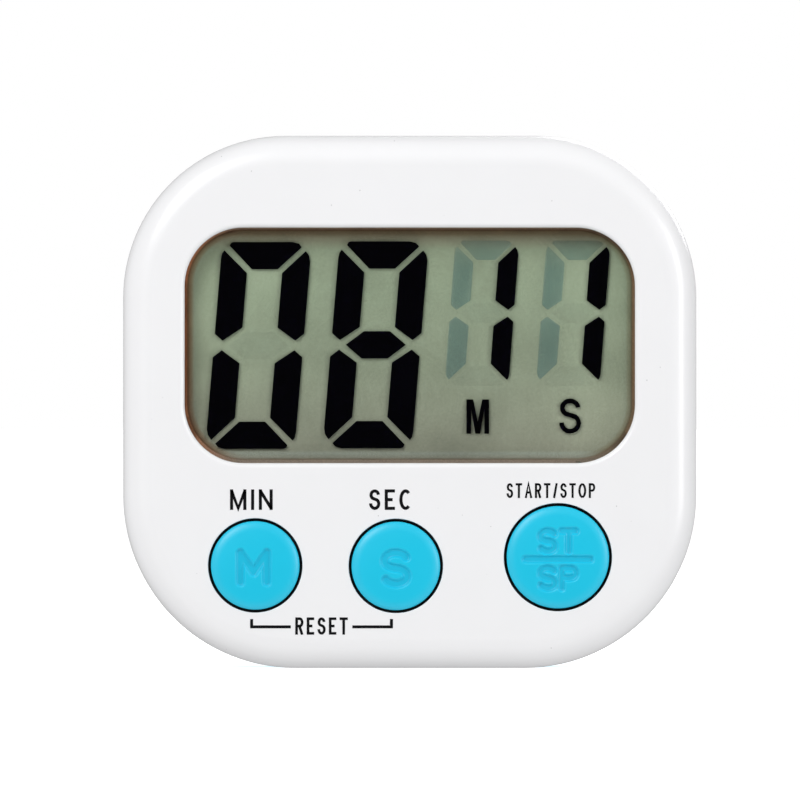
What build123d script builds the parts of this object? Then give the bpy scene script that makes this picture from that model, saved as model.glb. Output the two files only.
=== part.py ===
from build123d import *
import os

# The timer stands upright on its lower edge: X to the right, Y from the face to the back, Z up.
# The origin is under the middle of the body, at the lower edge. All sizes are in millimetres.

# ------------------------------------------------------------------ body
WIDTH = 70.0
HEIGHT = 65.0
TOP_CORNER = 19.75
BOTTOM_CORNER = 21.0
WALL = 1.6
FACE = -8.4
BACK = 9.2
PARTING = -2.5
# How far added material runs into a wall that it joins
OVERLAP = 0.4
FACE_ROUND = 3.6
BACK_ROUND = 3.9
INNER_FACE_ROUND = 1.0
INNER_BACK_ROUND = 2.0
SEAM_CHAMFER = 0.15
TONGUE_GAP = 0.1
TONGUE_WALL = 0.8
TONGUE_HEIGHT = 1.0
TONGUE_ROOT = 2.0
PILOT_FLOOR = 0.3
INNER_FACE = FACE + WALL
INNER_BACK = BACK - WALL

# ------------------------------------------------------------------ window and display
WINDOW_Z = 39.5
WINDOW_WIDTH = 55.2
WINDOW_HEIGHT = 29.0
WINDOW_CORNER = 7.3
RIM_BEVEL = 0.3
RIM_DEPTH = 0.8
LENS_MARGIN = 1.1
LENS_GAP = 0.05
GASKET_SHOW = 0.45
GASKET_THICKNESS = 0.35
GLASS_HALF_WIDTH = 28.9
GLASS_TOP = 54.9
GLASS_BOTTOM = 22.6
REAR_GLASS_BOTTOM = 25.0
POLARISER_THICKNESS = 0.2
GLASS_THICKNESS = 0.55
REFLECTOR_THICKNESS = 0.25
DISPLAY_FRAME_WALL = 0.8
DISPLAY_FRAME_GAP = 0.1
DISPLAY_FRAME_CORNER = 1.2
FILM_MARGIN = 0.3
GLASS_CHAMFER = 0.5
GASKET_CORNER = 3.0
ZEBRA_HALF_WIDTH = 27.0
ZEBRA_BOTTOM = 22.9
ZEBRA_TOP = 24.4
GASKET_FRONT = INNER_FACE
POLARISER_FRONT = GASKET_FRONT + GASKET_THICKNESS
FRONT_GLASS_FRONT = POLARISER_FRONT + POLARISER_THICKNESS
REAR_GLASS_FRONT = FRONT_GLASS_FRONT + GLASS_THICKNESS
REFLECTOR_FRONT = REAR_GLASS_FRONT + GLASS_THICKNESS

# ------------------------------------------------------------------ circuit board
BOARD_FRONT = -4.6
BOARD_THICKNESS = 1.0
BOARD_BACK = BOARD_FRONT + BOARD_THICKNESS
BOARD_INSET = 2.9
BOARD_SCREWS = [(-10.3, 4.9), (7.8, 4.9), (-13.0, 58.6), (13.0, 58.6)]
BOARD_POST_RADIUS = 1.8
BOARD_HOLE_RADIUS = 0.89
BOARD_CORNER = 3.0
BOARD_NECK_HALF_WIDTH = 17.0
CHIP_PLACE = (4.0, 36.0)
CHIP_RADIUS = 4.5
CHIP_HEIGHT = 1.1
CHIP_ROUND = 0.9
CRYSTAL_START = 11.0
CRYSTAL_LENGTH = 6.0
CRYSTAL_RADIUS = 1.0
CRYSTAL_Z = 44.0
CRYSTAL_GAP = 0.02
CRYSTAL_LEG_LENGTH = 2.0
CRYSTAL_LEG_RADIUS = 0.14
CRYSTAL_LEG_SPACING = 0.8
TRANSISTOR_PLACE = (-9.0, 28.0)
TRANSISTOR_SIZE = (2.9, 1.3)
TRANSISTOR_HEIGHT = 1.0
CAPACITOR_PLACE = (12.0, 27.5)
CAPACITOR_RADIUS = 2.0
CAPACITOR_HEIGHT = 5.0
RESISTOR_PLACES = [(-7.5, 33.0 + 2.5 * row) for row in range(4)]
RESISTOR_SIZE = (2.0, 1.25)
RESISTOR_HEIGHT = 0.5
MAT_THICKNESS = 0.6
MAT_BOTTOM = 6.9
MAT_HOLE_GAP = 0.6
LEAD_RADIUS = 0.4
LEAD_BEND = 1.0

# ------------------------------------------------------------------ buttons: x, z, cap radius
BUTTONS = {
    "minute": (-18.83, 12.58, 5.4),
    "second": (-1.70, 12.52, 5.4),
    "start_stop": (18.05, 13.58, 6.24),
}
BUTTON_GAP = 0.3
BUTTON_TOP = -9.2
BUTTON_EDGE = 0.5
BUTTON_SKIN = 1.2
BUTTON_SIDE = 1.0
FLANGE_FRONT = -6.75
FLANGE_THICKNESS = 0.7
FLANGE_REACH = 0.9
TRAVEL = 0.8
PLUNGER_RADIUS = 2.6
PILL_RADIUS = 1.5
PILL_THICKNESS = 0.2
PILL_BACK = BOARD_FRONT - TRAVEL - 0.02

# ------------------------------------------------------------------ screws
CASE_SCREWS = [(-21.5, 58.8), (21.5, 58.8), (-29.2, 17.5), (29.2, 17.5)]
FRONT_POST_RADIUS = 2.0
REAR_BOSS_RADIUS = 2.9
COUNTERBORE_RADIUS = 2.0
SEAT = -1.0
SCREW_HOLE = 1.1
PILOT_RADIUS = 0.75
SHANK_RADIUS = 0.74
HEAD_RADIUS = 1.75
HEAD_HEIGHT = 1.1
HEAD_ROUND = 0.35
SCREW_END_GAP = 0.7
CROSS_LENGTH = 2.45
CROSS_WIDTH = 0.45
CROSS_DEPTH = 0.6

# ------------------------------------------------------------------ battery and its bay
CELL_RADIUS = 5.25
CELL_LENGTH = 44.5
CELL_Y = 2.75
CELL_Z = 14.0
CELL_CAN = 0.3
CELL_ROUND = 0.5
CORE_GAP = 0.02
NUB_RADIUS = 1.9
NUB_LENGTH = 1.0
BAY_HALF_LENGTH = 24.6
BAY_HALF_HEIGHT = 5.6
BAY_WALL = 1.0
BAY_CORNER = 0.6
BAY_FLOOR = -2.6
BAY_FLOOR_WALL = 0.8
DOOR_LEDGE = 0.85
DOOR_GAP = 0.15
DOOR_CORNER = 2.0
DOOR_THICKNESS = 1.1
DOOR_RIDGES = 5
DOOR_RIDGE_START = 5.0
DOOR_RIDGE_PITCH = 1.4
DOOR_RIDGE_LENGTH = 7.0
DOOR_RIDGE_WIDTH = 0.7
DOOR_RIDGE_DEPTH = 0.35
TONGUE_X = 14.0
TONGUE_SIZE = (5.0, 0.8)
TONGUE_INSET = 0.6
TONGUE_LENGTH = 1.8
CONTACT_THICKNESS = 0.35
CONTACT_GAP = 0.05
CONTACT_SIZE = (8.0, 9.0)
CONTACT_CORNER = 1.0
CONTACT_SLOT_GAP = 0.2
SLOT_RUNOUT = 0.7
SPRING_WIRE = 0.22
SPRING_RADIUS = 2.9
SPRING_TURNS = 2.5
TAB_WIDTH = 2.0
TAB_TOP = 22.2
CELL_LEAD_STEP = 2.0
CELL_LEAD_TOP = 26.7

# ------------------------------------------------------------------ fold-out stand
STAND_HALF_WIDTH = 12.0
STAND_BOTTOM = 26.3
STAND_PIVOT_Z = 48.6
STAND_PIVOT_Y = 7.95
STAND_HALF_THICKNESS = 1.05
STAND_GAP = 0.25
PIN_RADIUS = 0.9
PIN_GAP = 0.06
PIN_LENGTH = 1.4
PIN_END_GAP = 0.2
STAND_BLOCK_WALL = 2.0
STAND_FLOOR_WALL = 1.1
STAND_BLOCK_TOP = 1.2
STAND_BLOCK_BOTTOM = 3.0
STAND_CORNER = 2.5
STAND_RECESS = (16.0, 9.0)
STAND_RECESS_CORNER = 2.0
STAND_RECESS_DEPTH = 0.8
STAND_RECESS_DROP = 9.5
SCOOP_RADIUS = 5.0
SCOOP_DROP = 2.5

# ------------------------------------------------------------------ magnets, hanger and sounder
MAGNETS = {"magnet_left": -22.2, "magnet_right": 22.2}
MAGNET_Z = 31.5
MAGNET_RADIUS = 6.0
MAGNET_THICKNESS = 2.0
MAGNET_GAP = 0.1
MAGNET_CHAMFER = 0.25
MAGNET_CUP_WALL = 1.0
HANGER_Z = 55.4
HANGER_RADIUS = 3.0
HANGER_SLOT_RADIUS = 1.5
HANGER_SLOT_TOP = 59.0
SOUNDER_X = -22.0
SOUNDER_Z = 46.8
SOUNDER_RADIUS = 7.5
SOUNDER_SEAT = INNER_BACK - 1.0
SOUNDER_RING_WALL = 0.8
PIEZO_THICKNESS = 0.2
CERAMIC_RADIUS = 5.0
CERAMIC_LEAD = 3.0
BRASS_LEAD = 5.88
LEAD_DROP = 1.5
LEAD_RUN_Y = 1.5
LEAD_END_Z = 35.0
SOUND_HOLE_RADIUS = 0.6
SOUND_HOLE_RING = 2.6


def facing(y):
    """Sketch plane at depth y, seen from the front: local x is X and local y is Z."""
    return Plane.XZ.offset(-y)


def outline(inset):
    """Body outline, smaller by inset all round."""
    with BuildSketch(mode=Mode.PRIVATE) as shape:
        with Locations((0, HEIGHT / 2)):
            Rectangle(WIDTH - 2 * inset, HEIGHT - 2 * inset)
        fillet(shape.vertices().group_by(Axis.Y)[-1], TOP_CORNER - inset)
        fillet(shape.vertices().group_by(Axis.Y)[0], BOTTOM_CORNER - inset)
    return shape.sketch


def pod(inset, end, edge_round):
    """Solid of the outline from the parting plane to one rounded end."""
    with BuildPart(mode=Mode.PRIVATE) as blank:
        with BuildSketch(facing(PARTING)):
            add(outline(inset))
        extrude(amount=PARTING - end)
        end_face = blank.faces().sort_by(Axis.Y)[0 if end < PARTING else -1]
        fillet(end_face.edges(), edge_round)
    return blank.part


def window(grow):
    """Rounded rectangle of the window, larger by grow all round."""
    with BuildSketch(mode=Mode.PRIVATE) as shape:
        with Locations((0, WINDOW_Z)):
            RectangleRounded(WINDOW_WIDTH + 2 * grow, WINDOW_HEIGHT + 2 * grow, WINDOW_CORNER + grow)
    return shape.sketch


def panel(half_width, bottom, top, corner=0.0):
    """Rectangle centred on X, from bottom to top, with equal rounded corners."""
    with BuildSketch(mode=Mode.PRIVATE) as shape:
        with Locations((0, (bottom + top) / 2)):
            Rectangle(2 * half_width, top - bottom)
        if corner:
            fillet(shape.vertices(), corner)
    return shape.sketch


def plate(profile, front, back):
    """Flat piece with the given profile, from depth front to depth back."""
    with BuildPart(mode=Mode.PRIVATE) as slab:
        with BuildSketch(facing(back)):
            add(profile)
        extrude(amount=back - front)
    return slab.part


def rods(centres, radius, front, back):
    """Round rods along Y at the given x, z centres."""
    with BuildPart(mode=Mode.PRIVATE) as group:
        with BuildSketch(facing(back)):
            with Locations(*centres):
                Circle(radius)
        extrude(amount=back - front)
    return group.part


def screw_group(centres, seat, tip):
    """Pan-head screws driven from the back, with a cross recess in each head."""
    with BuildPart(mode=Mode.PRIVATE) as group:
        with BuildSketch(facing(seat + HEAD_HEIGHT)):
            with Locations(*centres):
                Circle(HEAD_RADIUS)
        extrude(amount=HEAD_HEIGHT)
        rims = group.edges().filter_by(GeomType.CIRCLE).group_by(Axis.Y)[-1]
        fillet(rims, HEAD_ROUND)
        with BuildSketch(facing(seat)):
            with Locations(*centres):
                Circle(SHANK_RADIUS)
        extrude(amount=seat - tip)
        with BuildSketch(facing(seat + HEAD_HEIGHT)):
            with Locations(*centres):
                Rectangle(CROSS_LENGTH, CROSS_WIDTH)
                Rectangle(CROSS_WIDTH, CROSS_LENGTH)
        extrude(amount=CROSS_DEPTH, mode=Mode.SUBTRACT)
    return group.part


def save(piece, name):
    """Labels a finished piece and writes it as one STEP file."""
    piece.part.label = name
    export_step(piece.part, f"parts/{name}.step")


os.makedirs("parts", exist_ok=True)

# ------------------------------------------------------------------ front shell
with BuildPart() as front_shell:
    add(pod(0, FACE, FACE_ROUND))
    chamfer(front_shell.faces().sort_by(Axis.Y)[-1].edges(), SEAM_CHAMFER)
    add(pod(WALL, INNER_FACE, INNER_FACE_ROUND), mode=Mode.SUBTRACT)
    add(plate(window(0), FACE, INNER_FACE), mode=Mode.SUBTRACT)
    window_rim = front_shell.faces().sort_by(Axis.Y)[0].inner_wires().edges()
    chamfer(window_rim, RIM_BEVEL)
    for x, z, radius in BUTTONS.values():
        add(rods([(x, z)], radius + BUTTON_GAP, FACE, INNER_FACE), mode=Mode.SUBTRACT)
    add(plate(window(LENS_MARGIN), FACE + RIM_DEPTH, INNER_FACE), mode=Mode.SUBTRACT)
    add(rods(CASE_SCREWS, FRONT_POST_RADIUS, INNER_FACE - OVERLAP, PARTING))
    add(rods(BOARD_SCREWS, BOARD_POST_RADIUS, INNER_FACE - OVERLAP, BOARD_FRONT))
    add(rods(CASE_SCREWS, PILOT_RADIUS, INNER_FACE + PILOT_FLOOR, PARTING), mode=Mode.SUBTRACT)
    add(rods(BOARD_SCREWS, PILOT_RADIUS, INNER_FACE + PILOT_FLOOR, BOARD_FRONT), mode=Mode.SUBTRACT)
save(front_shell, "front_shell")

# ------------------------------------------------------------------ rear shell
bay_bottom = CELL_Z - BAY_HALF_HEIGHT
bay_top = CELL_Z + BAY_HALF_HEIGHT
stand_block = panel(
    STAND_HALF_WIDTH + STAND_GAP + STAND_BLOCK_WALL,
    STAND_BOTTOM - STAND_GAP - STAND_BLOCK_BOTTOM,
    STAND_PIVOT_Z + STAND_HALF_THICKNESS + STAND_GAP + STAND_BLOCK_TOP,
)
stand_pocket = panel(
    STAND_HALF_WIDTH + STAND_GAP,
    STAND_BOTTOM - STAND_GAP,
    STAND_PIVOT_Z + STAND_HALF_THICKNESS + STAND_GAP,
)
pocket_floor = STAND_PIVOT_Y - STAND_HALF_THICKNESS - STAND_GAP
magnet_floor = BACK - MAGNET_THICKNESS - MAGNET_GAP
magnet_centres = [(x, MAGNET_Z) for x in MAGNETS.values()]
sounder_centre = [(SOUNDER_X, SOUNDER_Z)]
contact_x = [
    -BAY_HALF_LENGTH + CONTACT_THICKNESS / 2 + CONTACT_GAP,
    CELL_LENGTH / 2 + CONTACT_THICKNESS / 2,
]

with BuildPart() as rear_shell:
    add(pod(0, BACK, BACK_ROUND))
    chamfer(rear_shell.faces().sort_by(Axis.Y)[0].edges(), SEAM_CHAMFER)
    add(pod(WALL, INNER_BACK, INNER_BACK_ROUND), mode=Mode.SUBTRACT)
    # Tongue that locates inside the front shell's wall
    tongue_outer = WALL + TONGUE_GAP
    tongue_inner = tongue_outer + TONGUE_WALL
    with BuildSketch(facing(PARTING + TONGUE_ROOT)):
        add(outline(WALL - OVERLAP))
        add(outline(tongue_inner), mode=Mode.SUBTRACT)
    extrude(amount=TONGUE_ROOT)
    with BuildSketch(facing(PARTING)):
        add(outline(tongue_outer))
        add(outline(tongue_inner), mode=Mode.SUBTRACT)
    extrude(amount=TONGUE_HEIGHT)
    # Solid material for the bay, the stand pocket, the magnet cups, the screw bosses and the sounder
    bay_low, bay_high = bay_bottom - BAY_WALL, bay_top + BAY_WALL
    bay_outer = panel(BAY_HALF_LENGTH + BAY_WALL, bay_low, bay_high, BAY_CORNER + BAY_WALL)
    add(plate(bay_outer, BAY_FLOOR - BAY_FLOOR_WALL, INNER_BACK + OVERLAP))
    add(plate(stand_block, pocket_floor - STAND_FLOOR_WALL, INNER_BACK + OVERLAP))
    cup_radius = MAGNET_RADIUS + MAGNET_GAP + MAGNET_CUP_WALL
    add(rods(magnet_centres, cup_radius, magnet_floor - MAGNET_CUP_WALL, INNER_BACK + OVERLAP))
    add(rods(CASE_SCREWS, REAR_BOSS_RADIUS, PARTING, INNER_BACK + OVERLAP))
    add(rods(sounder_centre, SOUNDER_RADIUS, SOUNDER_SEAT, INNER_BACK + OVERLAP))
    ring_radius = SOUNDER_RADIUS - SOUNDER_RING_WALL
    add(rods(sounder_centre, ring_radius, SOUNDER_SEAT, INNER_BACK), mode=Mode.SUBTRACT)
    # Pockets and holes
    bay_inner = panel(BAY_HALF_LENGTH, bay_bottom, bay_top, BAY_CORNER)
    add(plate(bay_inner, BAY_FLOOR, BACK), mode=Mode.SUBTRACT)
    door_low, door_high = bay_bottom - DOOR_LEDGE, bay_top + DOOR_LEDGE
    door_recess = panel(BAY_HALF_LENGTH + DOOR_LEDGE, door_low, door_high, DOOR_CORNER)
    add(plate(door_recess, BACK - DOOR_THICKNESS, BACK), mode=Mode.SUBTRACT)
    add(plate(stand_pocket, pocket_floor, BACK), mode=Mode.SUBTRACT)
    # Finger scoop below the stand, then the holes for its two pins
    with BuildSketch(facing(BACK)):
        with Locations((0, STAND_BOTTOM)):
            Circle(SCOOP_RADIUS)
        with Locations((0, STAND_BOTTOM - SCOOP_DROP / 2)):
            Rectangle(2 * SCOOP_RADIUS, SCOOP_DROP, mode=Mode.INTERSECT)
    extrude(amount=BACK - pocket_floor, mode=Mode.SUBTRACT)
    with BuildSketch(Plane.YZ):
        with Locations((STAND_PIVOT_Y, STAND_PIVOT_Z)):
            Circle(PIN_RADIUS + PIN_GAP)
    extrude(amount=STAND_HALF_WIDTH + PIN_LENGTH + PIN_END_GAP, both=True, mode=Mode.SUBTRACT)
    add(rods(magnet_centres, MAGNET_RADIUS + MAGNET_GAP, magnet_floor, BACK), mode=Mode.SUBTRACT)
    add(rods(CASE_SCREWS, COUNTERBORE_RADIUS, SEAT, BACK), mode=Mode.SUBTRACT)
    add(rods(CASE_SCREWS, SCREW_HOLE, PARTING, SEAT), mode=Mode.SUBTRACT)
    # Keyhole hanger
    with BuildSketch(facing(BACK)):
        with Locations((0, HANGER_Z)):
            Circle(HANGER_RADIUS)
        with Locations((0, (HANGER_Z + HANGER_SLOT_TOP) / 2)):
            Rectangle(2 * HANGER_SLOT_RADIUS, HANGER_SLOT_TOP - HANGER_Z)
        with Locations((0, HANGER_SLOT_TOP)):
            Circle(HANGER_SLOT_RADIUS)
    extrude(amount=WALL, mode=Mode.SUBTRACT)
    # Sound holes: one in the middle and a ring round it
    with BuildSketch(facing(BACK)):
        with Locations((SOUNDER_X, SOUNDER_Z)):
            Circle(SOUND_HOLE_RADIUS)
            with PolarLocations(SOUND_HOLE_RING, 6):
                Circle(SOUND_HOLE_RADIUS)
    extrude(amount=WALL, mode=Mode.SUBTRACT)
    # Slots in the bay's upper wall for the two contact tabs
    with BuildSketch(Plane.XY.offset(bay_top - SLOT_RUNOUT)):
        with Locations(*[(x, CELL_Y) for x in contact_x]):
            Rectangle(CONTACT_THICKNESS + CONTACT_SLOT_GAP, TAB_WIDTH + CONTACT_SLOT_GAP)
    extrude(amount=BAY_WALL + 2 * SLOT_RUNOUT, mode=Mode.SUBTRACT)
save(rear_shell, "rear_shell")

# ------------------------------------------------------------------ window lens and its gasket
with BuildPart() as window_lens:
    add(plate(window(LENS_MARGIN - LENS_GAP), FACE + RIM_DEPTH, INNER_FACE))
save(window_lens, "window_lens")

glass_outline = panel(GLASS_HALF_WIDTH, GLASS_BOTTOM, GLASS_TOP)
with BuildPart() as lens_gasket:
    with BuildSketch(facing(POLARISER_FRONT)):
        add(panel(GLASS_HALF_WIDTH, GLASS_BOTTOM, GLASS_TOP, GASKET_CORNER))
        add(window(-GASKET_SHOW), mode=Mode.SUBTRACT)
    extrude(amount=GASKET_THICKNESS)
save(lens_gasket, "lens_gasket")

# ------------------------------------------------------------------ liquid-crystal display
with BuildPart() as lcd_front_polariser:
    film = panel(GLASS_HALF_WIDTH - FILM_MARGIN, GLASS_BOTTOM + FILM_MARGIN, GLASS_TOP - FILM_MARGIN)
    add(plate(film, POLARISER_FRONT, FRONT_GLASS_FRONT))
save(lcd_front_polariser, "lcd_front_polariser")

with BuildPart() as lcd_front_glass:
    add(plate(glass_outline, FRONT_GLASS_FRONT, REAR_GLASS_FRONT))
    chamfer(lcd_front_glass.edges().filter_by(Axis.Y), GLASS_CHAMFER)
save(lcd_front_glass, "lcd_front_glass")

with BuildPart() as lcd_rear_glass:
    add(plate(panel(GLASS_HALF_WIDTH, REAR_GLASS_BOTTOM, GLASS_TOP), REAR_GLASS_FRONT, REFLECTOR_FRONT))
    chamfer(lcd_rear_glass.edges().filter_by(Axis.Y), GLASS_CHAMFER)
save(lcd_rear_glass, "lcd_rear_glass")

with BuildPart() as lcd_reflector:
    foil = panel(GLASS_HALF_WIDTH - FILM_MARGIN, REAR_GLASS_BOTTOM + FILM_MARGIN, GLASS_TOP - FILM_MARGIN)
    add(plate(foil, REFLECTOR_FRONT, REFLECTOR_FRONT + REFLECTOR_THICKNESS))
save(lcd_reflector, "lcd_reflector")

with BuildPart() as lcd_frame:
    for grow, corner, mode in (
        (DISPLAY_FRAME_WALL, DISPLAY_FRAME_CORNER, Mode.ADD),
        (DISPLAY_FRAME_GAP, 0.0, Mode.SUBTRACT),
    ):
        border = panel(GLASS_HALF_WIDTH + grow, GLASS_BOTTOM - grow, GLASS_TOP + grow, corner)
        add(plate(border, POLARISER_FRONT, BOARD_FRONT), mode=mode)
save(lcd_frame, "lcd_frame")

with BuildPart() as zebra_strip:
    add(plate(panel(ZEBRA_HALF_WIDTH, ZEBRA_BOTTOM, ZEBRA_TOP), REAR_GLASS_FRONT, BOARD_FRONT))
save(zebra_strip, "zebra_strip")

# ------------------------------------------------------------------ circuit board and what is on it
with BuildPart() as circuit_board:
    with BuildSketch(facing(BOARD_BACK)):
        # Behind the display, behind the keys, and a neck up to the upper two screws
        behind_display = GLASS_HALF_WIDTH + DISPLAY_FRAME_WALL
        board_top = GLASS_TOP + DISPLAY_FRAME_WALL
        add(panel(behind_display, GLASS_BOTTOM - 1.5 * DISPLAY_FRAME_WALL, board_top, BOARD_CORNER))
        add(panel(BAY_HALF_LENGTH + DISPLAY_FRAME_WALL, 0, GLASS_BOTTOM))
        add(panel(BOARD_NECK_HALF_WIDTH, WINDOW_Z, HEIGHT))
        add(outline(BOARD_INSET), mode=Mode.INTERSECT)
    extrude(amount=BOARD_THICKNESS)
    add(rods(BOARD_SCREWS, BOARD_HOLE_RADIUS, BOARD_FRONT, BOARD_BACK), mode=Mode.SUBTRACT)
save(circuit_board, "circuit_board")

with BuildPart() as chip_blob:
    add(rods([CHIP_PLACE], CHIP_RADIUS, BOARD_BACK, BOARD_BACK + CHIP_HEIGHT))
    fillet(chip_blob.edges().group_by(Axis.Y)[-1], CHIP_ROUND)
save(chip_blob, "chip_blob")

# A can crystal lying on the board, with its two legs
with BuildPart() as crystal:
    crystal_y = BOARD_BACK + CRYSTAL_RADIUS + CRYSTAL_GAP
    with BuildSketch(Plane.YZ.offset(CRYSTAL_START)):
        with Locations((crystal_y, CRYSTAL_Z)):
            Circle(CRYSTAL_RADIUS)
    extrude(amount=CRYSTAL_LENGTH)
    fillet(crystal.edges().group_by(Axis.X)[-1], 0.3 * CRYSTAL_RADIUS)
    with BuildSketch(Plane.YZ.offset(CRYSTAL_START - CRYSTAL_LEG_LENGTH)):
        with Locations((crystal_y, CRYSTAL_Z)):
            with GridLocations(1, CRYSTAL_LEG_SPACING, 1, 2):
                Circle(CRYSTAL_LEG_RADIUS)
    extrude(amount=CRYSTAL_LEG_LENGTH)
save(crystal, "crystal")

with BuildPart() as transistor:
    with BuildSketch(facing(BOARD_BACK + TRANSISTOR_HEIGHT)):
        with Locations(TRANSISTOR_PLACE):
            Rectangle(*TRANSISTOR_SIZE)
    extrude(amount=TRANSISTOR_HEIGHT)
    chamfer(transistor.edges().group_by(Axis.Y)[-1], 0.15 * TRANSISTOR_HEIGHT)
save(transistor, "transistor")

with BuildPart() as capacitor:
    add(rods([CAPACITOR_PLACE], CAPACITOR_RADIUS, BOARD_BACK, BOARD_BACK + CAPACITOR_HEIGHT))
    fillet(capacitor.edges().group_by(Axis.Y)[-1], 0.2 * CAPACITOR_RADIUS)
save(capacitor, "capacitor")

with BuildPart() as chip_resistors:
    with BuildSketch(facing(BOARD_BACK + RESISTOR_HEIGHT)):
        with Locations(*RESISTOR_PLACES):
            Rectangle(*RESISTOR_SIZE)
    extrude(amount=RESISTOR_HEIGHT)
save(chip_resistors, "chip_resistors")

# ------------------------------------------------------------------ keypad mat and the three buttons
button_centres = [(x, z) for x, z, radius in BUTTONS.values()]
mat_front = BOARD_FRONT - MAT_THICKNESS
with BuildPart() as keypad_mat:
    mat_outline = panel(BAY_HALF_LENGTH, MAT_BOTTOM, GLASS_BOTTOM - 2 * DISPLAY_FRAME_WALL, BOARD_CORNER)
    add(plate(mat_outline, mat_front, BOARD_FRONT))
    add(rods(button_centres, PLUNGER_RADIUS + MAT_HOLE_GAP, mat_front, BOARD_FRONT), mode=Mode.SUBTRACT)
save(keypad_mat, "keypad_mat")


def make_button(x, z, radius):
    """Hollow cap with a flange that keeps it inside the shell."""
    flange_back = FLANGE_FRONT + FLANGE_THICKNESS
    with BuildPart(mode=Mode.PRIVATE) as cap:
        add(rods([(x, z)], radius, BUTTON_TOP, flange_back))
        fillet(cap.edges().group_by(Axis.Y)[0], BUTTON_EDGE)
        add(rods([(x, z)], radius + FLANGE_REACH, FLANGE_FRONT, flange_back))
        inside = radius - BUTTON_SIDE
        add(rods([(x, z)], inside, BUTTON_TOP + BUTTON_SKIN, flange_back), mode=Mode.SUBTRACT)
    return cap.part


for name, (x, z, radius) in BUTTONS.items():
    with BuildPart() as button:
        add(make_button(x, z, radius))
    save(button, f"{name}_button")

    with BuildPart() as plunger:
        add(rods([(x, z)], PLUNGER_RADIUS, BUTTON_TOP + BUTTON_SKIN, PILL_BACK - PILL_THICKNESS))
    save(plunger, f"{name}_plunger")

    with BuildPart() as pill:
        add(rods([(x, z)], PILL_RADIUS, PILL_BACK - PILL_THICKNESS, PILL_BACK))
    save(pill, f"{name}_contact_pill")

# ------------------------------------------------------------------ sounder
ceramic_back = SOUNDER_SEAT - PIEZO_THICKNESS
ceramic_front = ceramic_back - PIEZO_THICKNESS
with BuildPart() as piezo_disc:
    add(rods(sounder_centre, SOUNDER_RADIUS, ceramic_back, SOUNDER_SEAT))
save(piezo_disc, "piezo_disc")

with BuildPart() as piezo_ceramic:
    add(rods(sounder_centre, CERAMIC_RADIUS, ceramic_front, ceramic_back))
save(piezo_ceramic, "piezo_ceramic")


def wire(points):
    """Insulated lead along straight runs joined by equal arcs."""
    with BuildPart(mode=Mode.PRIVATE) as lead:
        with BuildLine() as route:
            FilletPolyline(*points, radius=LEAD_BEND)
        with BuildSketch(Plane(origin=route.line @ 0, z_dir=route.line % 0)):
            Circle(LEAD_RADIUS)
        sweep(path=route.line)
    return lead.part


# One lead from the ceramic and one from the brass rim beside it, down to the board
with BuildPart() as piezo_leads:
    for across, contact_y in ((CERAMIC_LEAD, ceramic_front), (BRASS_LEAD, ceramic_back)):
        lead_x = SOUNDER_X + across
        lead_z = SOUNDER_Z - LEAD_DROP
        start = (lead_x, contact_y, lead_z)
        bend = (lead_x, LEAD_RUN_Y, lead_z)
        low = (lead_x, LEAD_RUN_Y, LEAD_END_Z)
        end = (lead_x, BOARD_BACK, LEAD_END_Z)
        add(wire([start, bend, low, end]))
save(piezo_leads, "piezo_leads")

# ------------------------------------------------------------------ battery
cell_end = CELL_LENGTH / 2
with BuildPart() as battery_can:
    with BuildSketch(Plane.YZ.offset(-cell_end)):
        with Locations((CELL_Y, CELL_Z)):
            Circle(CELL_RADIUS)
    extrude(amount=CELL_LENGTH - NUB_LENGTH)
    fillet(battery_can.edges(), CELL_ROUND)
    with BuildSketch(Plane.YZ.offset(-cell_end + CELL_CAN)):
        with Locations((CELL_Y, CELL_Z)):
            Circle(CELL_RADIUS - CELL_CAN)
    extrude(amount=CELL_LENGTH - NUB_LENGTH - 2 * CELL_CAN, mode=Mode.SUBTRACT)
    with BuildSketch(Plane.YZ.offset(cell_end - NUB_LENGTH)):
        with Locations((CELL_Y, CELL_Z)):
            Circle(NUB_RADIUS)
    extrude(amount=NUB_LENGTH)
save(battery_can, "battery_can")

with BuildPart() as battery_core:
    with BuildSketch(Plane.YZ.offset(-cell_end + CELL_CAN)):
        with Locations((CELL_Y, CELL_Z)):
            Circle(CELL_RADIUS - CELL_CAN - CORE_GAP)
    extrude(amount=CELL_LENGTH - NUB_LENGTH - 2 * CELL_CAN)
save(battery_core, "battery_core")


def contact_plate(x):
    """Sprung-metal end plate with a solder tab that leaves through the bay's upper wall."""
    with BuildPart(mode=Mode.PRIVATE) as contact:
        with BuildSketch(Plane.YZ.offset(x - CONTACT_THICKNESS / 2)):
            with Locations((CELL_Y, CELL_Z)):
                RectangleRounded(*CONTACT_SIZE, CONTACT_CORNER)
            with Locations((CELL_Y, (CELL_Z + TAB_TOP) / 2)):
                Rectangle(TAB_WIDTH, TAB_TOP - CELL_Z)
        extrude(amount=CONTACT_THICKNESS)
    return contact.part


with BuildPart() as negative_contact:
    add(contact_plate(contact_x[0]))
save(negative_contact, "negative_contact")

with BuildPart() as positive_contact:
    add(contact_plate(contact_x[1]))
save(positive_contact, "positive_contact")

spring_start = contact_x[0] + CONTACT_THICKNESS / 2
spring_height = -cell_end - spring_start - 2 * SPRING_WIRE - CORE_GAP
with BuildPart() as battery_spring:
    with BuildLine() as coil:
        Helix(
            pitch=spring_height / SPRING_TURNS,
            height=spring_height,
            radius=SPRING_RADIUS,
            center=(spring_start + SPRING_WIRE, CELL_Y, CELL_Z),
            direction=(1, 0, 0),
        )
    with BuildSketch(Plane(origin=coil.line @ 0, z_dir=coil.line % 0)):
        Circle(SPRING_WIRE)
    sweep(path=coil.line, is_frenet=True)
save(battery_spring, "battery_spring")

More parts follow.
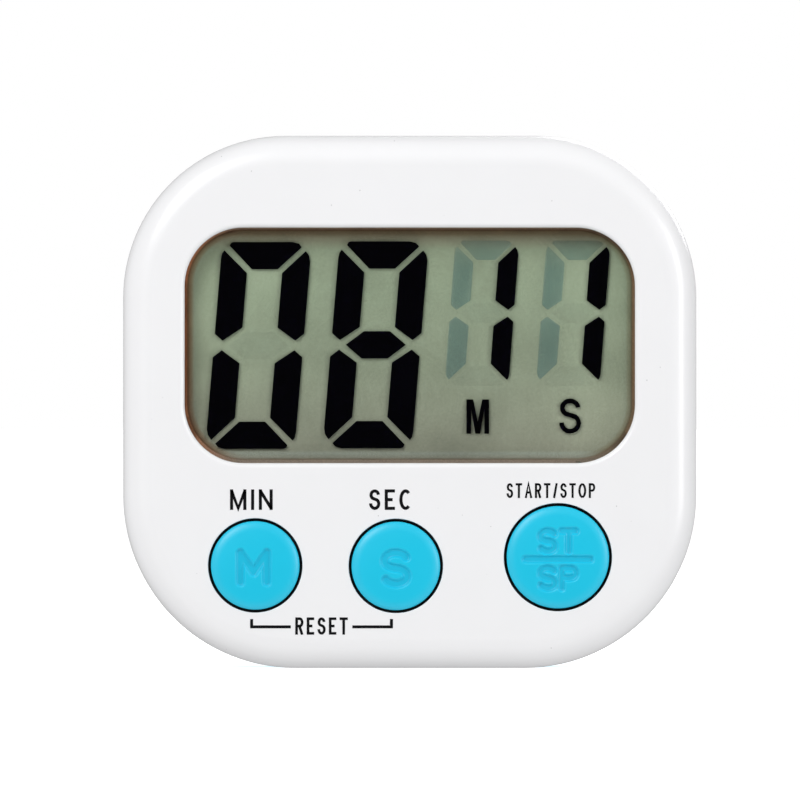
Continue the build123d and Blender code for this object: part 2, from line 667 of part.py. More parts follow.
# Each lead runs up from its contact's tab, over the bay and down to the board
for name, x in (("battery_lead_black", contact_x[0]), ("battery_lead_red", contact_x[1])):
    inward = 1 if x < 0 else -1
    lead_x = x + inward * (CONTACT_THICKNESS / 2 + LEAD_RADIUS + CONTACT_GAP)
    board_x = lead_x + inward * CELL_LEAD_STEP
    with BuildPart() as lead:
        start = (lead_x, CELL_Y, TAB_TOP - LEAD_BEND)
        rise = (lead_x, CELL_Y, CELL_LEAD_TOP - LEAD_BEND)
        across = (board_x, BOARD_BACK + 3 * LEAD_BEND, CELL_LEAD_TOP)
        end = (board_x, BOARD_BACK, CELL_LEAD_TOP)
        add(wire([start, rise, across, end]))
    save(lead, name)

# ------------------------------------------------------------------ battery door
with BuildPart() as battery_door:
    door_panel = panel(
        BAY_HALF_LENGTH + DOOR_LEDGE - DOOR_GAP,
        door_low + DOOR_GAP,
        door_high - DOOR_GAP,
        DOOR_CORNER - DOOR_GAP,
    )
    add(plate(door_panel, BACK - DOOR_THICKNESS, BACK))
    # Thumb ridges near one end
    ridge_start = DOOR_RIDGE_START - BAY_HALF_LENGTH
    with BuildSketch(facing(BACK)):
        for ridge in range(DOOR_RIDGES):
            with Locations((ridge_start + DOOR_RIDGE_PITCH * ridge, CELL_Z)):
                SlotOverall(DOOR_RIDGE_LENGTH, DOOR_RIDGE_WIDTH, rotation=90)
    extrude(amount=DOOR_RIDGE_DEPTH, mode=Mode.SUBTRACT)
    # Snap tongues that reach past the bay's edge
    with BuildSketch(facing(BACK - DOOR_THICKNESS)):
        with Locations((0, CELL_Z)):
            with GridLocations(2 * TONGUE_X, 2 * (BAY_HALF_HEIGHT - TONGUE_INSET), 2, 2):
                Rectangle(*TONGUE_SIZE)
    extrude(amount=TONGUE_LENGTH)
save(battery_door, "battery_door")

# ------------------------------------------------------------------ fold-out stand
with BuildPart() as kickstand:
    with BuildSketch(Plane.YZ):
        with Locations((STAND_PIVOT_Y, (STAND_BOTTOM + STAND_PIVOT_Z) / 2)):
            Rectangle(2 * STAND_HALF_THICKNESS, STAND_PIVOT_Z - STAND_BOTTOM)
        with Locations((STAND_PIVOT_Y, STAND_PIVOT_Z)):
            Circle(STAND_HALF_THICKNESS)
    extrude(amount=STAND_HALF_WIDTH, both=True)
    fillet(kickstand.edges().filter_by(Axis.Y).group_by(Axis.Z)[0], STAND_CORNER)
    with BuildSketch(Plane.YZ):
        with Locations((STAND_PIVOT_Y, STAND_PIVOT_Z)):
            Circle(PIN_RADIUS)
    extrude(amount=STAND_HALF_WIDTH + PIN_LENGTH, both=True)
    with BuildSketch(facing(STAND_PIVOT_Y + STAND_HALF_THICKNESS)):
        with Locations((0, STAND_PIVOT_Z - STAND_RECESS_DROP)):
            RectangleRounded(*STAND_RECESS, STAND_RECESS_CORNER)
    extrude(amount=STAND_RECESS_DEPTH, mode=Mode.SUBTRACT)
save(kickstand, "kickstand")

# ------------------------------------------------------------------ magnets
for name, x in MAGNETS.items():
    with BuildPart() as magnet:
        add(rods([(x, MAGNET_Z)], MAGNET_RADIUS, magnet_floor, BACK - MAGNET_GAP))
        chamfer(magnet.edges().group_by(Axis.Y)[-1], MAGNET_CHAMFER)
    save(magnet, name)

# ------------------------------------------------------------------ screws
with BuildPart() as case_screws:
    add(screw_group(CASE_SCREWS, SEAT, INNER_FACE + SCREW_END_GAP))
save(case_screws, "case_screws")

with BuildPart() as board_screws:
    add(screw_group(BOARD_SCREWS, BOARD_BACK, INNER_FACE + SCREW_END_GAP))
save(board_screws, "board_screws")
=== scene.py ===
import math

import bmesh
import bpy
import numpy as np
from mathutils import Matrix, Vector


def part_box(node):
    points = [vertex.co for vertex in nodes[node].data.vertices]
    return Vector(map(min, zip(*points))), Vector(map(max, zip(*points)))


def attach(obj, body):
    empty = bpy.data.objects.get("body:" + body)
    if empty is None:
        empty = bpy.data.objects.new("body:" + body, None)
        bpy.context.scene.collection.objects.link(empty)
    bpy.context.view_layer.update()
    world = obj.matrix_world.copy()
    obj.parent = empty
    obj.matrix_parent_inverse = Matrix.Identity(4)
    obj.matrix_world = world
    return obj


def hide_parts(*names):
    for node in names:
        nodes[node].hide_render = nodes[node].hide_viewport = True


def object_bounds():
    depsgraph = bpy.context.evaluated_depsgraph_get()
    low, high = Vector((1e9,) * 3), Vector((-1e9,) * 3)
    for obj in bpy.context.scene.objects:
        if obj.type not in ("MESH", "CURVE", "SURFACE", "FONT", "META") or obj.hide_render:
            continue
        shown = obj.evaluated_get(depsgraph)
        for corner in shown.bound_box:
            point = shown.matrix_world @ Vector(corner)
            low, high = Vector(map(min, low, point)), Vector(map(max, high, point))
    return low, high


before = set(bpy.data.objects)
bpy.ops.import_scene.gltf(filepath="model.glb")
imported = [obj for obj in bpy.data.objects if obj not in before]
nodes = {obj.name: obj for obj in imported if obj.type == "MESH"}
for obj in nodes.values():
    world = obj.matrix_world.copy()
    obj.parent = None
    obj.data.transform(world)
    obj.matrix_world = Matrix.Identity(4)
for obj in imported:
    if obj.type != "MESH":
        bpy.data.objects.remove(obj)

cad_low, cad_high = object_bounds()

# ------------------------------------------------------------------ sizes, in metres
MM = 0.001
shell_low, shell_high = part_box("front_shell")
FACE_Y = shell_low.y
WINDOW_CENTRE = sum(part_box("window_lens"), Vector()) / 2
WINDOW_SIZE = (55.2 * MM, 29.0 * MM)
WINDOW_CORNER = 7.3 * MM
INK_DEPTH = 0.27 * MM
DISPLAY_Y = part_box("lcd_rear_glass")[0].y + INK_DEPTH


# ------------------------------------------------------------------ material helpers
def start_material(name):
    """New node material: returns it with its tree and its Principled node."""
    material = bpy.data.materials.new(name)
    material.use_nodes = True
    tree = material.node_tree
    return material, tree, tree.nodes["Principled BSDF"]


def coordinates(tree):
    """Object coordinates, which are the shared frame's metres on every piece."""
    return tree.nodes.new("ShaderNodeTexCoord").outputs["Object"]


def noise(tree, size, detail=3.0, roughness=0.5):
    """Noise whose grains are about size metres across."""
    node = tree.nodes.new("ShaderNodeTexNoise")
    node.inputs["Scale"].default_value = 1.0 / size
    node.inputs["Detail"].default_value = detail
    node.inputs["Roughness"].default_value = roughness
    tree.links.new(coordinates(tree), node.inputs["Vector"])
    return node.outputs["Fac"]


def ramp(tree, factor, stops, interpolation="LINEAR"):
    """Colour ramp over factor; stops are (position, colour) pairs."""
    node = tree.nodes.new("ShaderNodeValToRGB")
    node.color_ramp.interpolation = interpolation
    elements = node.color_ramp.elements
    while len(elements) < len(stops):
        elements.new(1.0)
    for element, (position, colour) in zip(elements, stops):
        element.position = position
        element.color = (*colour, 1.0) if len(colour) == 3 else colour
    tree.links.new(factor, node.inputs["Fac"])
    return node.outputs["Color"]


def grey(value):
    """A grey colour."""
    return (value, value, value)


def bump(tree, shader, height, distance):
    """Bump of the given height in metres."""
    node = tree.nodes.new("ShaderNodeBump")
    node.inputs["Distance"].default_value = distance
    tree.links.new(height, node.inputs["Height"])
    tree.links.new(node.outputs["Normal"], shader.inputs["Normal"])


def multiplied(tree, base, *factors, share=None):
    """Colour multiplied by each of the other colours, fully or only by the given share."""
    for factor in factors:
        mix = tree.nodes.new("ShaderNodeMix")
        mix.data_type = "RGBA"
        mix.blend_type = "MULTIPLY"
        mix.inputs["Factor"].default_value = 1.0
        if share is not None:
            tree.links.new(share, mix.inputs["Factor"])
        tree.links.new(base, mix.inputs["A"])
        tree.links.new(factor, mix.inputs["B"])
        base = mix.outputs["Result"]
    return base


def span(tree, value, low, high):
    """Value rescaled so that low gives 0 and high gives 1."""
    node = tree.nodes.new("ShaderNodeMapRange")
    node.inputs["From Min"].default_value = low
    node.inputs["From Max"].default_value = high
    tree.links.new(value, node.inputs["Value"])
    return node.outputs["Result"]


def separated(tree, vector):
    """X, Y and Z of a vector, as outputs of one node."""
    node = tree.nodes.new("ShaderNodeSeparateXYZ")
    tree.links.new(vector, node.inputs["Vector"])
    return node.outputs


def moulded_plastic(
    name, colour, roughness, grain_size, grain_height, variation=0.03, specks=0.0, unevenness=0.15
):
    """Moulded plastic: slight colour and gloss variation, a fine surface grain and a few dust specks."""
    material, tree, shader = start_material(name)
    darker = tuple(c * (1 - variation) for c in colour)
    lighter = tuple(min(1.0, c * (1 + variation)) for c in colour)
    base = ramp(tree, noise(tree, 6 * MM, 2.0), [(0.35, darker), (0.65, lighter)])
    if specks:
        cells = tree.nodes.new("ShaderNodeTexVoronoi")
        cells.inputs["Scale"].default_value = 1.0 / (2.4 * MM)
        tree.links.new(coordinates(tree), cells.inputs["Vector"])
        mask = ramp(tree, cells.outputs["Distance"], [(specks, grey(1.0)), (specks * 1.6, grey(0.0))])
        mix = tree.nodes.new("ShaderNodeMix")
        mix.data_type = "RGBA"
        tree.links.new(mask, mix.inputs["Factor"])
        tree.links.new(base, mix.inputs["A"])
        mix.inputs["B"].default_value = (*(0.6 * c for c in colour), 1.0)
        base = mix.outputs["Result"]
    tree.links.new(base, shader.inputs["Base Color"])
    smooth, dull = roughness * (1 - unevenness), roughness * (1 + unevenness)
    gloss = ramp(tree, noise(tree, 2 * MM, 4.0), [(0.3, grey(smooth)), (0.7, grey(dull))])
    tree.links.new(gloss, shader.inputs["Roughness"])
    bump(tree, shader, noise(tree, grain_size, 2.0), grain_height)
    shader.inputs["IOR"].default_value = 1.52
    return material


def metal(name, colour, roughness, brush_size=0.15 * MM, stretch=(1.0, 1.0, 12.0)):
    """Plated metal with fine drawn lines and slight staining."""
    material, tree, shader = start_material(name)
    mapping = tree.nodes.new("ShaderNodeMapping")
    mapping.inputs["Scale"].default_value = stretch
    tree.links.new(coordinates(tree), mapping.inputs["Vector"])
    lines = tree.nodes.new("ShaderNodeTexNoise")
    lines.inputs["Scale"].default_value = 0.1 / brush_size
    lines.inputs["Detail"].default_value = 6.0
    tree.links.new(mapping.outputs["Vector"], lines.inputs["Vector"])
    stain = ramp(tree, noise(tree, 3 * MM, 4.0), [(0.3, tuple(0.82 * c for c in colour)), (0.7, colour)])
    tree.links.new(stain, shader.inputs["Base Color"])
    gloss = ramp(tree, lines.outputs["Fac"], [(0.3, grey(roughness * 0.7)), (0.7, grey(roughness * 1.4))])
    tree.links.new(gloss, shader.inputs["Roughness"])
    bump(tree, shader, lines.outputs["Fac"], 0.01 * MM)
    shader.inputs["Metallic"].default_value = 1.0
    return material


def cell_sleeve():
    """Battery: a plain dark sleeve with a pale band, and bare nickel plate at both ends."""
    material, tree, shader = start_material("cell_sleeve")
    low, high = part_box("battery_can")
    along = span(tree, separated(tree, coordinates(tree))["X"], low.x, high.x)
    plate, dark, pale = (0.78, 0.77, 0.74), (0.03, 0.034, 0.04), (0.60, 0.60, 0.58)
    sleeve_start, band_start, band_end, sleeve_end = 0.013, 0.70, 0.73, 0.955
    base = ramp(
        tree, along,
        [(0.0, plate), (sleeve_start, dark), (band_start, pale), (band_end, dark), (sleeve_end, plate)],
        "CONSTANT",
    )
    ends = [(0.0, grey(1.0)), (sleeve_start, grey(0.0)), (sleeve_end, grey(1.0))]
    bare = ramp(tree, along, ends, "CONSTANT")
    gloss = ramp(tree, noise(tree, 1.5 * MM, 3.0), [(0.3, grey(0.27)), (0.7, grey(0.33))])
    tree.links.new(base, shader.inputs["Base Color"])
    tree.links.new(bare, shader.inputs["Metallic"])
    tree.links.new(gloss, shader.inputs["Roughness"])
    return material


def clear_sheet(name, tint, roughness, mirror_share):
    """Clear sheet: slightly tinted, and mirroring mirror_share of the light head on and more at a slant."""
    material, tree, shader = start_material(name)
    tree.nodes.remove(shader)
    through = tree.nodes.new("ShaderNodeBsdfTransparent")
    deeper = tuple(0.985 * c for c in tint)
    colour = ramp(tree, noise(tree, 5 * MM, 2.0), [(0.3, tint), (0.7, deeper)])
    tree.links.new(colour, through.inputs["Color"])
    mirror = tree.nodes.new("ShaderNodeBsdfAnisotropic")
    gloss = ramp(tree, noise(tree, 4 * MM, 5.0), [(0.4, grey(roughness)), (0.75, grey(roughness + 0.04))])
    tree.links.new(gloss, mirror.inputs["Roughness"])
    slant = tree.nodes.new("ShaderNodeLayerWeight")
    growth = [(0.0, 1.0), (0.5, 1.5), (0.8, 6.0), (1.0, 18.0)]
    share = ramp(tree, slant.outputs["Facing"], [(at, grey(times * mirror_share)) for at, times in growth])
    mix = tree.nodes.new("ShaderNodeMixShader")
    tree.links.new(share, mix.inputs["Fac"])
    tree.links.new(through.outputs["BSDF"], mix.inputs[1])
    tree.links.new(mirror.outputs["BSDF"], mix.inputs[2])
    tree.links.new(mix.outputs["Shader"], tree.nodes["Material Output"].inputs["Surface"])
    return material


def window_distance(tree):
    """Distance in metres from the window's rounded edge, positive inside it."""
    place = separated(tree, coordinates(tree))

    def maths(operation, first, second=0.0):
        node = tree.nodes.new("ShaderNodeMath")
        node.operation = operation
        for socket, value in zip(node.inputs, (first, second)):
            if isinstance(value, float):
                socket.default_value = value
            else:
                tree.links.new(value, socket)
        return node.outputs["Value"]

    half_x = WINDOW_SIZE[0] / 2 - WINDOW_CORNER
    half_z = WINDOW_SIZE[1] / 2 - WINDOW_CORNER
    past_x = maths("SUBTRACT", maths("ABSOLUTE", maths("SUBTRACT", place["X"], WINDOW_CENTRE.x)), half_x)
    past_z = maths("SUBTRACT", maths("ABSOLUTE", maths("SUBTRACT", place["Z"], WINDOW_CENTRE.z)), half_z)
    out_x = maths("MAXIMUM", past_x, 0.0)
    out_z = maths("MAXIMUM", past_z, 0.0)
    corner = maths("SQRT", maths("ADD", maths("MULTIPLY", out_x, out_x), maths("MULTIPLY", out_z, out_z)))
    inner = maths("MINIMUM", maths("MAXIMUM", past_x, past_z), 0.0)
    return maths("SUBTRACT", WINDOW_CORNER, maths("ADD", corner, inner))


def window_spans(tree):
    """How far across and how far up the window a place is, from 0 to 1."""
    place = separated(tree, coordinates(tree))
    half = (WINDOW_SIZE[0] / 2, WINDOW_SIZE[1] / 2)
    across = span(tree, place["X"], WINDOW_CENTRE.x - half[0], WINDOW_CENTRE.x + half[0])
    up = span(tree, place["Z"], WINDOW_CENTRE.z - half[1], WINDOW_CENTRE.z + half[1])
    return across, up


def reflector_film():
    """Green-grey film behind the display, with painted light and shade: a painted shadow beside the frame, a
    browner painted warm shade at the left beside the foam, and painted gradients over the rest.
    """
    material, tree, shader = start_material("reflector_film")
    across, up = window_spans(tree)
    # Film tone with painted light: pale at the bottom edge, brighter higher up, and a dark brown painted
    # shadow under the top of the rim.
    film_tone_and_painted_light = ramp(tree, up, [
        (0.0, (0.55, 0.63, 0.60)), (0.025, (0.54, 0.60, 0.56)), (0.055, (0.395, 0.395, 0.31)),
        (0.4, (0.375, 0.415, 0.305)), (0.75, (0.41, 0.475, 0.34)), (0.90, (0.40, 0.46, 0.325)),
        (0.948, (0.40, 0.37, 0.26)), (0.966, (0.32, 0.25, 0.155)), (1.0, (0.36, 0.25, 0.15)),
    ])
    # Painted light across the film: lighter towards both side edges and a little darker left of the middle.
    painted_side_light = ramp(tree, across, [
        (0.0, grey(1.22)), (0.2, grey(1.0)), (0.3, grey(0.93)), (0.45, grey(0.99)), (0.8, grey(0.99)),
        (0.97, grey(1.28)), (1.0, grey(1.0)),
    ])
    # Painted shade in the lowest third of the film, share set by low: darker at the left and middle, lighter
    # towards the right.
    painted_low_shade = ramp(tree, across, [
        (0.4, grey(0.92)), (0.6, grey(0.82)), (0.78, grey(0.98)), (0.92, grey(1.17)),
    ])
    low = ramp(tree, up, [(0.08, grey(1.0)), (0.32, grey(0.0))])
    edge = span(tree, window_distance(tree), 0.45 * MM, 1.3 * MM)
    shadow = [(0.0, (0.50, 0.34, 0.25)), (0.45, (0.84, 0.77, 0.70)), (1.0, grey(1.0))]
    shade = ramp(tree, edge, shadow, "EASE")
    grain = ramp(tree, noise(tree, 0.30 * MM, 3.0, 0.7), [(0.3, grey(0.90)), (0.7, grey(1.085))])
    # Painted warm shade near the window edge: redder and browner close to the foam, fading inwards; left
    # limits it to the left side.
    painted_warm_shade = ramp(tree, edge, [
        (0.0, (1.15, 0.66, 0.53)), (0.35, (0.95, 0.60, 0.50)), (0.7, (1.03, 0.84, 0.82)), (1.0, grey(1.0)),
    ])
    left = ramp(tree, across, [(0.0, grey(1.0)), (0.14, grey(0.0))])
    base = multiplied(tree, film_tone_and_painted_light, painted_side_light, shade, grain)
    base = multiplied(tree, base, painted_low_shade, share=low)
    base = multiplied(tree, base, painted_warm_shade, share=left)
    tree.links.new(base, shader.inputs["Base Color"])
    bump(tree, shader, noise(tree, 0.1 * MM, 2.0), 0.004 * MM)
    shader.inputs["Roughness"].default_value = 0.55
    return material


def foam_tape():
    """Brown closed-cell foam round the display; its tint is painted light, redder at the left, duller at the
    right and greyer below.
    """
    material, tree, shader = start_material("brown_foam")
    across, up = window_spans(tree)
    # Painted light in the tint: redder at the left, duller at the right and greyer towards the bottom; the
    # brown itself is the foam's own colour.
    left, middle, right = (0.49, 0.18, 0.075), (0.29, 0.19, 0.12), (0.25, 0.15, 0.08)
    base = ramp(tree, across, [(0.0, left), (0.12, middle), (0.88, middle), (1.0, right)])
    lower = ramp(tree, up, [(0.0, (0.93, 1.15, 1.4)), (0.15, (0.95, 1.05, 1.15)), (0.3, grey(1.0))])
    cells = ramp(tree, noise(tree, 0.12 * MM, 2.0), [(0.35, grey(0.85)), (0.65, grey(1.15))])
    tree.links.new(multiplied(tree, base, lower, cells), shader.inputs["Base Color"])
    bump(tree, shader, noise(tree, 0.12 * MM, 2.0), 0.03 * MM)
    shader.inputs["Roughness"].default_value = 0.85
    return material


def ink(name, colour, roughness=0.5, alpha=1.0, painted_top_alpha=None, gloss=0.5):
    """Printed ink or a display segment, slightly uneven; the top alpha, when given, is its alpha at the
    window's top, a painted lightening where the rim's shadow falls.
    """
    material, tree, shader = start_material(name)
    lighter = tuple(1.3 * c + 0.0003 for c in colour)
    base = ramp(tree, noise(tree, 0.12 * MM, 3.0), [(0.35, colour), (0.75, lighter)])
    tree.links.new(base, shader.inputs["Base Color"])
    bump(tree, shader, noise(tree, 0.08 * MM, 2.0), 0.002 * MM)
    shader.inputs["Roughness"].default_value = roughness
    shader.inputs["Specular IOR Level"].default_value = gloss
    shader.inputs["Alpha"].default_value = alpha
    # Painted light: alpha eases to the top value near the window's top, so segments there look paler against
    # the rim's shadow.
    if painted_top_alpha is not None:
        painted_top_fade = ramp(tree, window_spans(tree)[1], [(0.82, grey(alpha)), (0.90, grey(painted_top_alpha))])
        tree.links.new(painted_top_fade, shader.inputs["Alpha"])
    return material


white_plastic = moulded_plastic(
    "white_plastic", (0.86, 0.86, 0.872), 0.27, 0.5 * MM, 0.0008 * MM, 0.004, specks=0.022, unevenness=0.005
)
cyan_case = moulded_plastic("cyan_case_plastic", (0.008, 0.50, 0.68), 0.42, 0.22 * MM, 0.012 * MM)
key_finish = dict(
    roughness=0.40, grain_size=0.30 * MM, grain_height=0.002 * MM, variation=0.01, unevenness=0.02
)
cyan_key = moulded_plastic("cyan_key_plastic", (0.003, 0.54, 0.77), **key_finish)
# Darker copy of the key plastic for the floors of the sunk letters: painted shade.
cyan_painted_letter_shade = moulded_plastic("cyan_plastic_painted_letter_shade", (0.003, 0.49, 0.71), **key_finish)
brown_foam = foam_tape()
# Black plastic of the display frame, also used as painted shade in the gaps round the keys.
black_plastic_and_painted_shade = moulded_plastic("black_plastic_and_painted_shade", (0.015, 0.015, 0.016), 0.45, 0.2 * MM, 0.01 * MM)
clear_acrylic = clear_sheet("clear_acrylic", (0.99, 0.993, 0.991), 0.03, 0.035)
display_glass = clear_sheet("display_glass", (0.99, 0.995, 0.992), 0.04, 0.001)
polarising_film = clear_sheet("polarising_film", (0.98, 0.985, 0.978), 0.10, 0.001)
reflector = reflector_film()
nickel = metal("nickel_plate", (0.80, 0.79, 0.77), 0.24)
zinc = metal("zinc_plate", (0.66, 0.67, 0.70), 0.32)
brass = metal("brass_sheet", (0.80, 0.58, 0.25), 0.30)
epoxy = moulded_plastic("black_epoxy", (0.012, 0.012, 0.012), 0.35, 0.5 * MM, 0.05 * MM)
solder_mask = moulded_plastic("solder_mask", (0.012, 0.14, 0.045), 0.30, 0.8 * MM, 0.01 * MM, 0.15)
silicone = moulded_plastic("silicone_rubber", (0.42, 0.43, 0.42), 0.55, 0.3 * MM, 0.01 * MM)
carbon_rubber = moulded_plastic("carbon_rubber", (0.012, 0.012, 0.012), 0.8, 0.15 * MM, 0.01 * MM)
silvered_ceramic = moulded_plastic("silvered_ceramic", (0.62, 0.61, 0.58), 0.4, 0.2 * MM, 0.01 * MM)
red_pvc = moulded_plastic("red_pvc", (0.50, 0.015, 0.01), 0.4, 0.3 * MM, 0.005 * MM)
black_pvc = moulded_plastic("black_pvc", (0.012, 0.012, 0.012), 0.4, 0.3 * MM, 0.005 * MM)
cell_paste = moulded_plastic("cell_paste", (0.03, 0.03, 0.032), 0.9, 0.2 * MM, 0.05 * MM)

NODE_MATERIALS = {
    white_plastic: ["front_shell"],
    cyan_case: ["rear_shell", "battery_door", "kickstand"],
    cyan_key: ["minute_button", "second_button", "start_stop_button"],
    clear_acrylic: ["window_lens"],
    brown_foam: ["lens_gasket"],
    polarising_film: ["lcd_front_polariser"],
    display_glass: ["lcd_front_glass", "lcd_rear_glass"],
    reflector: ["lcd_reflector"],
    black_plastic_and_painted_shade: ["lcd_frame"],
    cell_sleeve(): ["battery_can"],
    nickel: ["battery_spring", "negative_contact", "positive_contact", "magnet_left", "magnet_right",
             "crystal", "capacitor"],
    zinc: ["case_screws", "board_screws"],
    brass: ["piezo_disc"],
    epoxy: ["chip_blob", "transistor", "chip_resistors"],
    solder_mask: ["circuit_board"],
    silicone: ["keypad_mat", "zebra_strip", "minute_plunger", "second_plunger", "start_stop_plunger"],
    carbon_rubber: ["minute_contact_pill", "second_contact_pill", "start_stop_contact_pill"],
    silvered_ceramic: ["piezo_ceramic"],
    red_pvc: ["battery_lead_red"],
    black_pvc: ["battery_lead_black", "piezo_leads"],
    cell_paste: ["battery_core"],
}


def dress(piece, material):
    """Gives a piece its one material and smooth shading, with edges over 35 degrees kept crisp."""
    if piece.data.materials:
        piece.data.materials.clear()
    piece.data.materials.append(material)
    if piece.type == "MESH":
        piece.data.polygons.foreach_set("use_smooth", [True] * len(piece.data.polygons))
        piece.data.set_sharp_from_angle(angle=math.radians(35))


for material, names in NODE_MATERIALS.items():
    for name in names:
        dress(nodes[name], material)


# ------------------------------------------------------------------ piece helpers
def mesh_piece(name, vertices, faces, material, slot, body="body"):
    """Mesh object from plain lists, riding on a body."""
    mesh = bpy.data.meshes.new(name)
    mesh.from_pydata([tuple(v) for v in vertices], [], faces)
    mesh.update()
    piece = bpy.data.objects.new(name, mesh)
    bpy.context.scene.collection.objects.link(piece)
    dress(piece, material)
    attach(piece, body)
    return piece


def prisms(outlines, front, back):
    """Vertices and faces of flat prisms, one for each outline of (x, z) points."""
    vertices, faces = [], []
    for outline in outlines:
        first, count = len(vertices), len(outline)
        area = sum(a[0] * b[1] - b[0] * a[1] for a, b in zip(outline, outline[1:] + outline[:1]))
        points = outline if area > 0 else outline[::-1]
        vertices += [(x, front, z) for x, z in points] + [(x, back, z) for x, z in points]
        faces.append([first + i for i in range(count)])
        faces.append([first + count + i for i in reversed(range(count))])
        for i in range(count):
            j = (i + 1) % count
            faces.append([first + j, first + i, first + count + i, first + count + j])
    return vertices, faces


# ------------------------------------------------------------------ display figures
BIG = dict(width=10.93 * MM, height=25.25 * MM, bar=3.32 * MM, slant=0.083)
SMALL = dict(width=7.8 * MM, height=17.75 * MM, bar=2.38 * MM, slant=0.075)
ON = {"0": "abcdef", "1": "bc", "8": "abcdefg"}
OPPOSITE = {"d": "a", "c": "f", "e": "b"}


def segment(name, width, height, bar):
    """Outline of one of seven segments, upright and centred on 0, 0; corners are set in bars from the box."""
    if name in OPPOSITE:
        return [(-x, -z) for x, z in segment(OPPOSITE[name], width, height, bar)]
    half_w, half_h = width / 2, height / 2
    inner_w = half_w - 1.165 * bar
    corners = {
        "a": [
            (-half_w + 0.28 * bar, half_h - 0.135 * bar), (-half_w + 0.33 * bar, half_h - 0.03 * bar),
            (-half_w + 0.41 * bar, half_h), (half_w - 0.71 * bar, half_h),
            (half_w - 0.47 * bar, half_h - 0.06 * bar), (half_w - 0.35 * bar, half_h - 0.19 * bar),
            (half_w - 1.17 * bar, half_h - bar), (-half_w + 1.17 * bar, half_h - bar),
        ],
        "b": [
            (half_w - 0.19 * bar, half_h - 0.33 * bar), (half_w - 0.06 * bar, half_h - 0.50 * bar),
            (half_w, half_h - 0.72 * bar), (half_w, 0.43 * bar), (half_w - 0.31 * bar, 0.175 * bar),
            (half_w - bar, 0.655 * bar), (half_w - bar, half_h - 1.14 * bar),
        ],
        "f": [
            (-half_w + 0.10 * bar, half_h - 0.30 * bar), (-half_w + 0.03 * bar, half_h - 0.42 * bar),
            (-half_w, half_h - 0.62 * bar), (-half_w, 0.43 * bar), (-half_w + 0.31 * bar, 0.175 * bar),
            (-half_w + bar, 0.655 * bar), (-half_w + bar, half_h - 1.14 * bar),
        ],
        "g": [
            (side * x, side * z) for side in (-1, 1)
            for x, z in ((half_w - 0.54 * bar, 0), (inner_w, 0.5 * bar), (-inner_w, 0.5 * bar))
        ],
    }
    return corners[name]


def placed_segment(name, centre, width, height, bar, slant):
    """Outline of a segment in its place, leaning by slant."""
    return [(centre[0] + x + slant * z, centre[1] + z) for x, z in segment(name, width, height, bar)]


MID_Z = 32.5
PLACES = [
    ("0", (-18.465 * MM, (MID_Z + 6.90) * MM), BIG),
    ("8", (-4.145 * MM, (MID_Z + 6.98) * MM), BIG),
    ("1", (8.82 * MM, (MID_Z + 10.84) * MM), SMALL),
    ("1", (19.96 * MM, (MID_Z + 10.84) * MM), SMALL),
]
lit_ink = ink("segment_lit", (0.0005, 0.0003, 0.0018), gloss=0.0)
# Ghost segments, paler at the window's top as painted light.
ghost_ink = ink("segment_ghost", (0.01, 0.235, 0.30), alpha=0.17, painted_top_alpha=0.12, gloss=0.0)
faint_ink = ink("segment_faint", (0.05, 0.20, 0.22), alpha=0.022, gloss=0.0)

segment_front = DISPLAY_Y - 0.02 * MM
segment_back = DISPLAY_Y + 0.02 * MM
lit, ghosts, faint = [], [], []
for figure, centre, size in PLACES:
    for name in "abcdefg":
        group = lit if name in ON[figure] else faint if name in "gd" else ghosts
        group.append(placed_segment(name, centre, **size))
for name, outlines, material in (
    ("display_segments_lit", lit, lit_ink),
    ("display_segments_ghost", ghosts, ghost_ink),
    ("display_segments_faint", faint, faint_ink),
):
    mesh_piece(name, *prisms(outlines, segment_front, segment_back), material, "display_glass")


# ------------------------------------------------------------------ letters
def arc_points(centre, radii, start, end, count=14):
    """Points along an elliptical arc, angles in degrees."""
    angles = np.radians(np.linspace(start, end, count))
    return [(centre[0] + radii[0] * math.cos(a), centre[1] + radii[1] * math.sin(a)) for a in angles]


def ribbon(line, width):
    """Outline of a stroke of the given width along a line of points, with square ends."""
    points = [Vector(p) for p in line]
    left, right = [], []
    for i, point in enumerate(points):
        before = (point - points[i - 1]).normalized() if i else None
        after = (points[i + 1] - point).normalized() if i + 1 < len(points) else None
        along = ((before or after) + (after or before)).normalized()
        side = Vector((-along.y, along.x))
        reach = width / 2 / max(0.45, side.dot(Vector((-(after or before).y, (after or before).x))))
        left.append(tuple(point + side * reach))
        right.append(tuple(point - side * reach))
    return left + right[::-1]


LETTER_WIDTHS = {"I": 0.16, "M": 0.92, "N": 0.78, "/": 0.5, "E": 0.62, "C": 0.76, "O": 0.82, "A": 0.80}
COMMON_WIDTH = 0.68
LETTER_SPACING = 0.27


